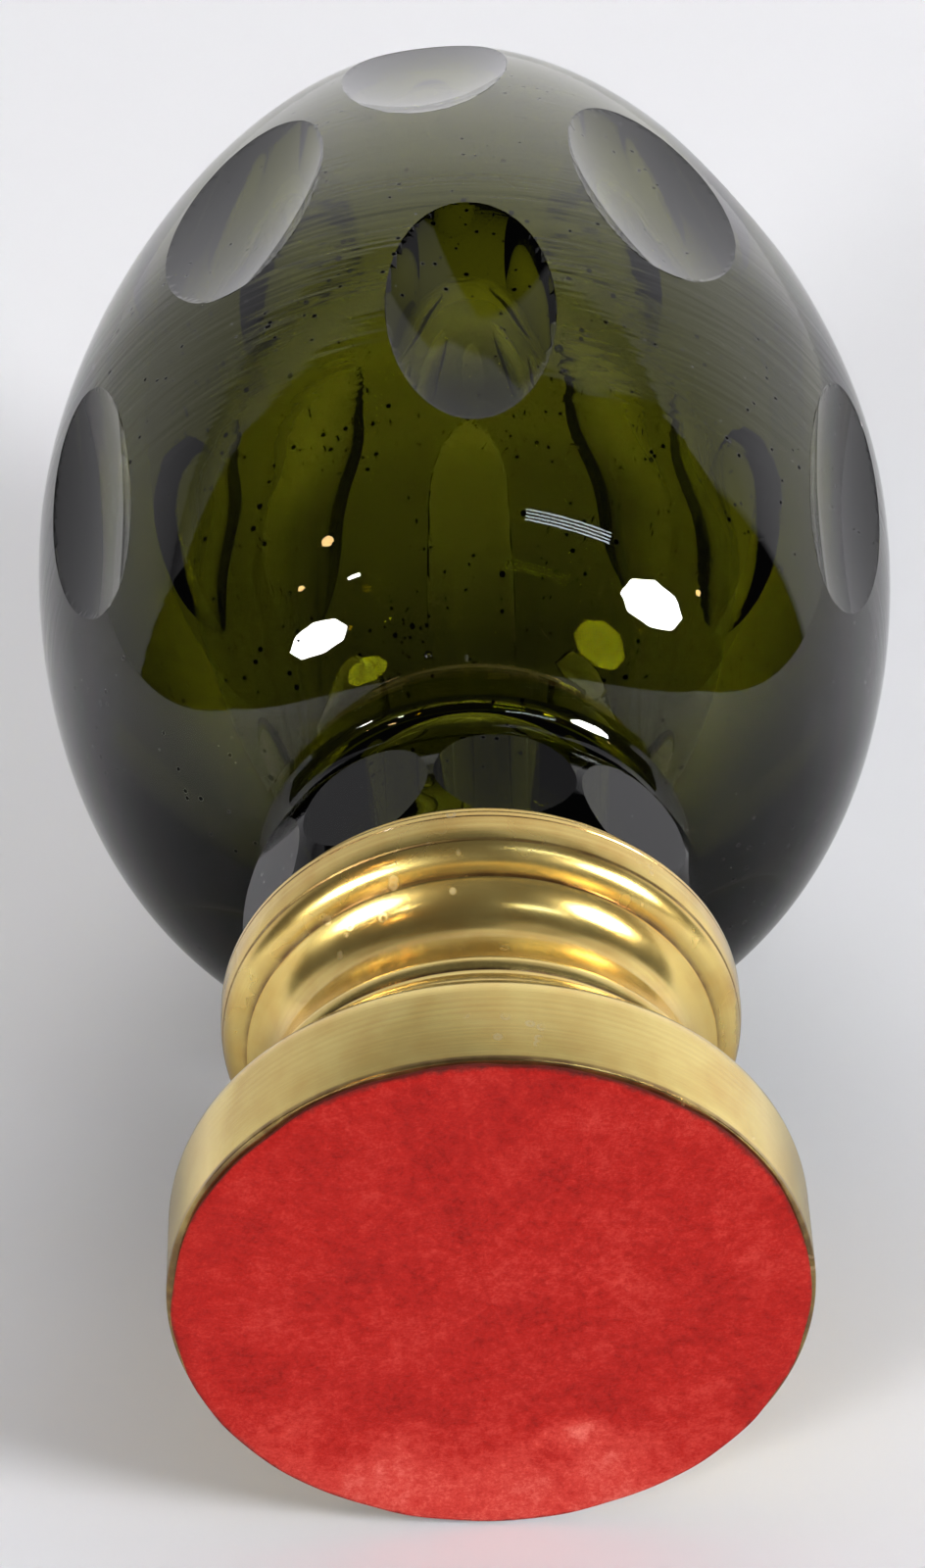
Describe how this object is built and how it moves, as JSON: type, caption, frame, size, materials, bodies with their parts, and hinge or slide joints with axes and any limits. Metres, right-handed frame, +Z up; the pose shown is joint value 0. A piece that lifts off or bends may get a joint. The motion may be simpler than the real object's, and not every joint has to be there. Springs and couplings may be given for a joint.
{
  "type": "cut glass pine cone ornament",
  "caption": "Hollow dark green glass cone with rows of ground ovals and a faceted neck, bedded in a turned brass mount on a drum with a red felt foot.",
  "frame": {"origin": "centre of the felt's underside, on the surface that the ornament stands on", "axes": "+Z up along the turning axis from foot to tip; the first cut of the lowest row faces -Y, 2 degrees towards +X"},
  "size_m": [0.096, 0.0964, 0.209],
  "materials": {
    "green_glass": "polished dark olive green glass with ground and polished cuts",
    "brass": "turned, polished and lacquered, a little tarnish in the grooves",
    "red_felt": "pressed wool felt, mottled",
    "board": "grey-brown pressed board",
    "plaster": "set plaster, dull",
    "steel": "plain steel, lightly dulled"
  },
  "bodies": {
    "root": {"glass_body": "green_glass", "collar_cup": "brass", "cove_stem": "brass", "foot_drum": "brass", "felt_pad": "red_felt", "base_disc": "board", "plaster_bed": "plaster", "tie_bolt": "steel", "washer": "steel", "hex_nut": "steel"}
  },
  "joints": []
}
